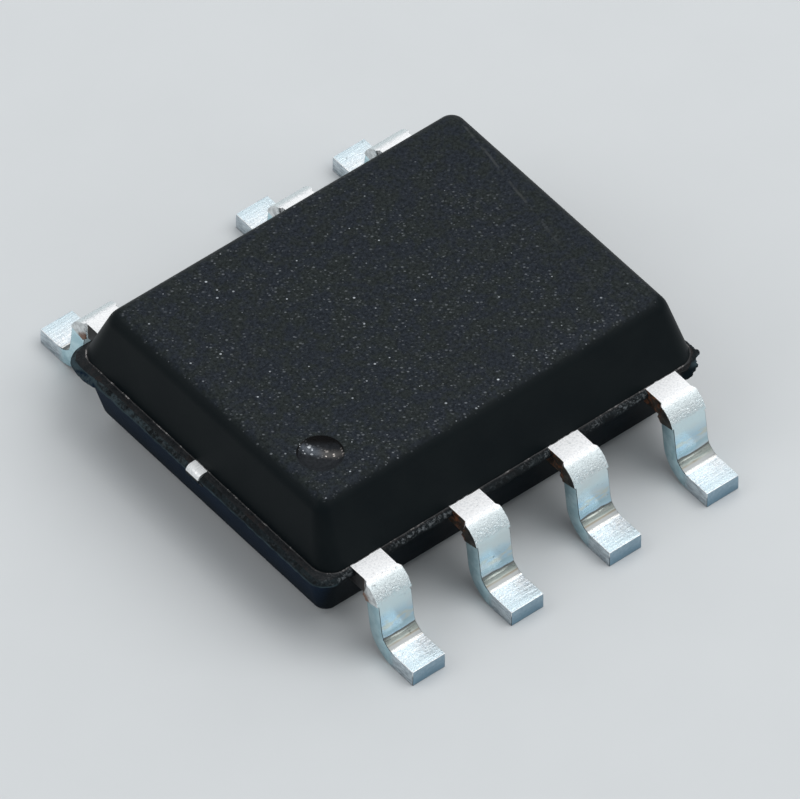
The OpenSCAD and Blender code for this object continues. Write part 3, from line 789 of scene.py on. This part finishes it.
def make_body():
    bm = bmesh.new()
    ledge_z = PARTING - LEDGE_DROP
    # the underside, then up the lower half
    levels = half_levels(LOWER_H, LOWER_DRAFTS, BOTTOM_EDGE_R)
    ring, layers = first_ring(bm, lower_outline(levels[-1], -0.02), PARTING - levels[-1])
    base = ring
    for h in reversed(levels):
        if h > LIP_H + 0.045:
            ring = next_ring(bm, ring, layers, LOWER_SKIN, lower_outline(h), PARTING - h)
    # out along the slope under the lip and round its worn edge
    ring = next_ring(bm, ring, layers, LOWER_SKIN, lower_outline(LIP_H + 0.026, -0.002), PARTING - LIP_H - 0.026,
                     ragged=0.006, uneven=0.006, seed=0.2)
    slope = LIP_OUT + drawn_in(LIP_H, LOWER_H, LOWER_DRAFTS[0], BOTTOM_EDGE_R)
    for k in range(5):
        share = k / 4
        ring = next_ring(bm, ring, layers, LOWER_SKIN, lip_outline(slope * (1 - share) * 0.96 + 0.008),
                         PARTING - LIP_H - 0.012 + (LIP_H - LIP_FACE + 0.012) * share,
                         ragged=0.014, uneven=0.014, wear=share, seed=0.2 + 0.2 * k)
    for inward, drop, uneven in ((0.003, LIP_FACE - 0.012, 0.012), (0.003, 0.050, 0.008), (0.008, 0.034, 0.006),
                                 (0.017, 0.020, 0.005), (0.029, 0.010, 0.004), (0.042, 0.003, 0.003)):
        ring = next_ring(bm, ring, layers, LOWER_SKIN, lip_outline(inward), ledge_z - drop,
                         ragged=0.010, uneven=uneven, wear=1.0, notch=True, seed=1.4)
    # the ledge, then the fine bead at the foot of the upper half
    ring = next_ring(bm, ring, layers, LOWER_SKIN, lip_outline(0.052), ledge_z,
                     ragged=0.004, uneven=0.002, wear=0.8, notch=True, seed=1.4)
    for out, rise, skin in ((0.016, 0.0, LEDGE_SKIN), (0.011, 0.0, LEDGE_SKIN), (0.008, 0.005, BEAD_SKIN),
                            (0.002, 0.008, BEAD_SKIN), (-0.002, 0.006, BEAD_SKIN)):
        ring = next_ring(bm, ring, layers, skin, upper_outline(0, out), ledge_z + rise,
                         uneven=0.003 if rise else 0.0, seed=2.0)
    # up the upper half and over its edge
    levels = half_levels(UPPER_H, UPPER_DRAFTS, TOP_EDGE_R, face_steps=5, edge_steps=16)
    for h in [0.012] + levels:
        ring = next_ring(bm, ring, layers, TOP_SKIN, upper_outline(h), PARTING + h)
    ring = next_ring(bm, ring, layers, TOP_SKIN, upper_outline(levels[-1], -0.02), PARTING + levels[-1])
    sink_dimple(bm, ring)
    bmesh.ops.contextual_create(bm, geom=base)
    for face in bm.faces:
        if len(face.verts) > 20:
            face.material_index = LOWER_SKIN
    skins = [compound_top(), compound_ledge(), compound_bead(), compound_lower(), compound_dimple()]
    return finish(bm, "moulded_body", skins, ["mould_body"], sharp=55)


# ---------------------------------------------------------------- the leads

FACE_TIN, SIDE_TIN, EDGE_TIN, RESIN_AND_SHADE, SHEARED = range(5)
EDGE_R = 0.016
GROOVE_DEPTH, GROOVE_AT, GROOVE_SPREAD = 0.007, 57, 4     # on the ankle, in degrees before the foot
CREASE_AT = 9                                             # the flat of the foot starts this many degrees early
STUB_SWELL = 9                                            # degrees over which a stub swells out of the edge


def lead_path():
    """Centres and length of a gull wing, with u outward and v up: leg length and the ankle's centre."""
    lean = math.radians(LEAN)
    across = Vector((0, math.cos(lean), math.sin(lean)))
    along = Vector((0, math.sin(lean), -math.cos(lean)))
    outer = SHOULDER_AT + (SHOULDER_R + SHEET) * across
    leg = (outer.z + ANKLE_R * across.z - ANKLE_R - SHEET) / math.cos(lean)
    return along, leg, outer + ANKLE_R * across + leg * along


def push(bm, face, move, steps=1):
    """Extrudes a lead's end face on in a straight line and returns the new end."""
    for _ in range(steps):
        made = bmesh.ops.extrude_face_region(bm, geom=[face])["geom"]
        bmesh.ops.delete(bm, geom=[face], context="FACES_ONLY")
        face = faces_of(made)[0]
        bmesh.ops.translate(bm, verts=face.verts[:], vec=move / steps)
    return face


def turn(bm, face, centre, degrees, steps):
    """Bends a lead's end face round a centre and returns the new end."""
    made = bmesh.ops.spin(bm, geom=[face], cent=centre, axis=(1, 0, 0), angle=math.radians(degrees),
                          steps=steps, use_merge=False)
    return faces_of(made["geom_last"])[0]


def bend_angle(at):
    """Angle of a place round the shoulder bend, degrees up from level."""
    arm = at - SHOULDER_AT
    return math.degrees(math.atan2(arm.z, arm.y))


def make_lead(number, skins):
    column, side = LEADS[number]
    rand = random.Random(number)
    bm = bmesh.new()
    along, leg, ankle = lead_path()
    # the pad with its hole; the middle of its outer edge is as wide as the lead's root
    shift = -math.copysign(PAD_SHIFT, column) if abs(column) > 1 else 0.0
    pad_out = PAD_IN + PAD_L
    left, right = shift - PAD_W / 2, shift + PAD_W / 2
    corners = [bm.verts.new((x, y, PARTING))
               for x, y in ((left, PAD_IN), (right, PAD_IN), (right, pad_out), (ROOT_W / 2, pad_out),
                            (-ROOT_W / 2, pad_out), (left, pad_out))]
    edges = [bm.edges.new((a, b)) for a, b in zip(corners, corners[1:] + corners[:1])]
    edges += circle_edges(bm, 24, LOCK_R, (shift, pad_out - LOCK_INSET, PARTING))
    sheet = faces_of(bmesh.ops.triangle_fill(bm, edges=edges, use_beauty=True, normal=UP)["geom"])
    under = bmesh.ops.extrude_face_region(bm, geom=sheet, use_keep_orig=True)["geom"]
    bmesh.ops.translate(bm, verts=verts_of(under), vec=(0, 0, -SHEET))
    bmesh.ops.recalc_face_normals(bm, faces=bm.faces)
    walls = [f for f in bm.faces if f.normal.y > 0.9 and abs(f.calc_center_median().x) < 1e-4]
    end = max(walls, key=lambda f: f.calc_center_median().y)
    # the gull wing
    end = push(bm, end, Vector((0, SHOULDER_AT.y - pad_out, 0)), 3)
    end = turn(bm, end, SHOULDER_AT, STUB_FROM - 90, 4)
    end = turn(bm, end, SHOULDER_AT, STUB_TO - STUB_FROM, 16)
    end = turn(bm, end, SHOULDER_AT, LEAN - STUB_TO, 1)
    end = push(bm, end, along * leg, 3)
    end = turn(bm, end, ankle, 90 - LEAN, 24)
    push(bm, end, Vector((0, TIP_Y - ankle.y, 0)), 4)
    bmesh.ops.recalc_face_normals(bm, faces=bm.faces)
    # wider from the end of the stubs on
    for v in bm.verts:
        if v.co.y > SHOULDER_AT.y and bend_angle(v.co) < STUB_TO + 0.5:
            v.co.x *= FOOT_W / ROOT_W
    # what is left of the cut tie swells out of both edges of the shoulder bend
    for way in (-1, 1):
        chosen = [f for f in bm.faces
                  if f.normal.x * way > 0.9 and STUB_TO < bend_angle(f.calc_center_median()) < STUB_FROM
                  and (f.calc_center_median() - SHOULDER_AT).length < SHOULDER_R + SHEET]
        made = bmesh.ops.extrude_face_region(bm, geom=chosen)["geom"]
        bmesh.ops.delete(bm, geom=[f for f in chosen if f.is_valid], context="FACES_ONLY")
        for v in verts_of(made):
            grown = min(1.0, max(0.0, (STUB_FROM - bend_angle(v.co)) / STUB_SWELL)) ** 0.8
            v.co.x = way * (ROOT_W / 2 + STUB * grown * rand.uniform(0.9, 1.0))
    bmesh.ops.remove_doubles(bm, verts=bm.verts, dist=1e-4)
    bmesh.ops.recalc_face_normals(bm, faces=bm.faces)
    # the forming tool's marks: a shallow groove low on the slope, and a crisp start to the flat of the foot
    for v in bm.verts:
        arm = v.co - ankle
        arm.x = 0
        if abs(arm.length - ANKLE_R) < 0.004 and v.co.y < ankle.y + 0.001:
            lean = math.degrees(math.atan2(-arm.y, -arm.z))
            v.co += arm.normalized() * GROOVE_DEPTH * math.exp(-((lean - GROOVE_AT) / GROOVE_SPREAD) ** 2)
            if lean < CREASE_AT:
                v.co.z = SHEET
    # rounded edges
    edges = [e for e in bm.edges if len(e.link_faces) == 2 and e.calc_face_angle(0) > math.radians(50)
             and e.calc_length() > 1e-4 and min(v.co.y for v in e.verts) > pad_out + 1e-4]
    round_off(bm, edges, EDGE_R, 3, material=EDGE_TIN)

    def cut_side(way):
        """Finish of the side that faces along X by the sign of way."""
        return RESIN_AND_SHADE if side < 0 and abs(column + math.copysign(1, way)) < 2 else SHEARED

    for f in bm.faces:
        centre = f.calc_center_median()
        if f.material_index == EDGE_TIN:
            # round the shoulder the edges take the finish of the faces beside them
            if centre.y < SHOULDER_AT.y + 0.3 and STUB_TO + 2 < bend_angle(centre):
                f.material_index = FACE_TIN if abs(f.normal.x) < 0.6 else cut_side(centre.x)
        elif abs(f.normal.x) > 0.7:
            f.material_index = cut_side(f.normal.x)
        elif f.normal.y > 0.9 and centre.y > TIP_Y - 0.02:
            f.material_index = SIDE_TIN
    bmesh.ops.scale(bm, vec=(1, side, 1), verts=bm.verts)
    bmesh.ops.translate(bm, verts=bm.verts, vec=(column * PITCH, 0, 0))
    return finish(bm, f"gull_wing_{number}", skins, [f"lead_{number}"], sharp=38)


# ---------------------------------------------------------------- the paddle and its bars

def make_paddle():
    bm = bmesh.new()
    paddle_low, paddle_high = box_mm("die_paddle")
    paddle_top = box_mm("die_attach")[0].z
    low = paddle_top - SHEET
    half_l, half_w, cut = 1.50, 0.85, 0.12
    tie_flat, downset, tie_w = 0.22, PARTING - paddle_top, 0.20
    shear_z = PARTING - SHEET + 0.06             # the underside of each cut end rises from here
    plate = [bm.verts.new((sx * half_l, sy * half_w, low)) for sx, sy in ((-1, -1), (1, -1), (1, 1), (-1, 1))]
    bm.faces.new(plate)
    round_off(bm, plate, cut, 1, "VERTICES")
    for axis in (-1, 1):
        end = [e for e in bm.edges if all(abs(v.co.x - axis * half_l) < 1e-4 for v in e.verts)]
        made = bmesh.ops.subdivide_edges(bm, edges=end, cuts=2)
        inner = sorted(verts_of(made["geom_inner"]), key=lambda v: v.co.y)
        for v, y in zip(inner, (-tie_w / 2, tie_w / 2)):
            v.co.y = y
    top = bmesh.ops.extrude_face_region(bm, geom=bm.faces[:], use_keep_orig=True)["geom"]
    bmesh.ops.translate(bm, verts=verts_of(top), vec=(0, 0, SHEET))
    bmesh.ops.recalc_face_normals(bm, faces=bm.faces)
    for axis, tip in ((-1, -paddle_low.x), (1, paddle_high.x)):
        end = [f for f in bm.faces if f.normal.x * axis > 0.9 and abs(f.calc_center_median().y) < 1e-3][0]
        foot = UPPER_HALF.x + axis * UPPER_MID.x
        for run, rise in ((tie_flat, 0), (downset, downset), (foot - half_l - tie_flat - downset, 0),
                          (tip - foot - 0.060, 0), (0.025, -0.008), (0.020, -0.016), (0.015, -0.028)):
            end = push(bm, end, Vector((axis * run, 0, rise)))
    for v in bm.verts:
        past = abs(v.co.x - LIP_MID.x) - LOWER_HALF.x - 0.012
        if past > 0 and v.co.z < shear_z:
            v.co.z = shear_z + 0.7 * past
    edges = [e for e in bm.edges if all(abs(v.co.x) > UPPER_HALF.x - 0.02 for v in e.verts)
             and e.calc_face_angle(0) > math.radians(50)]
    round_off(bm, edges, 0.008, 2)
    for v in bm.verts:
        v.co.x = max(paddle_low.x, min(paddle_high.x, v.co.x))
    return finish(bm, "paddle_and_bars", [tinned_bar()], ["die_paddle"])


# ---------------------------------------------------------------- build

make_body()
lead_skins = [tin_face(), tin_side(), tin_edge(), resin_and_shade_side(), sheared_side()]
for number in LEADS:
    make_lead(number, lead_skins)
make_paddle()

inner_finish = {"die_attach": silver_glue(), "die": die_silicon()}
wire_finish = gold_wire()
for node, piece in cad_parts.items():
    if node.startswith("bond_wire"):
        inner_finish[node] = wire_finish
    if node in inner_finish:
        piece.data.materials.clear()
        piece.data.materials.append(inner_finish[node])


# ---------------------------------------------------------------- studio and camera

def make_floor():
    material, w = new_material("studio_paper")
    base = w.mix(w.noise(w.place()[0], 0.8, 3.0), (0.620, 0.638, 0.645), (0.650, 0.668, 0.675))
    surface(w, base, 0.85, Specular_IOR_Level=0.2)
    bm = bmesh.new()
    bmesh.ops.create_grid(bm, x_segments=1, y_segments=1, size=0.6)
    mesh = bpy.data.meshes.new("floor")
    bm.to_mesh(mesh)
    bm.free()
    mesh.materials.append(material)
    floor = add_object("floor", mesh)


def softbox(name, direction, distance, width, height, radiance):
    lamp = bpy.data.lights.new(name, "AREA")
    lamp.shape = "RECTANGLE"
    lamp.size, lamp.size_y = width, height
    lamp.energy = radiance * width * height * math.pi      # power that gives this radiance over the lamp's area
    light = add_object(name, lamp)
    way = Vector(direction).normalized()
    light.location = way * distance
    light.rotation_euler = way.to_track_quat("Z", "Y").to_euler()
    light.visible_camera = False


def make_studio():
    world = bpy.data.worlds.new("studio")
    bpy.context.scene.world = world
    world.use_nodes = True
    background = world.node_tree.nodes["Background"]
    background.inputs[0].default_value = (0.90, 0.95, 1.0, 1)
    background.inputs[1].default_value = 0.38
    softbox("key", (0.38, 0.46, 0.80), 0.10, 0.11, 0.11, 0.80)
    softbox("over", (0.36, -0.30, 0.88), 0.12, 0.10, 0.10, 2.35)
    softbox("left", (-0.66, 0.34, 0.67), 0.12, 0.09, 0.09, 1.30)
    softbox("front", (0.46, -0.80, 0.38), 0.13, 0.09, 0.06, 0.55)


def make_camera():
    lens = bpy.data.cameras.new("camera")
    lens.sensor_width = 36.0
    lens.lens = 736.5
    lens.clip_start = 0.01
    camera = add_object("camera", lens)
    azimuth, elevation = math.radians(-39.03), math.radians(47.51)
    back = Vector((math.sin(azimuth) * math.cos(elevation), -math.cos(azimuth) * math.cos(elevation),
                   math.sin(elevation)))
    camera.location = Vector((-70.249, -86.849, 122.178)) * MM
    camera.rotation_euler = back.to_track_quat("Z", "Y").to_euler()
    bpy.context.scene.camera = camera


make_floor()
make_studio()
make_camera()
bpy.context.scene.view_settings.view_transform = "Standard"
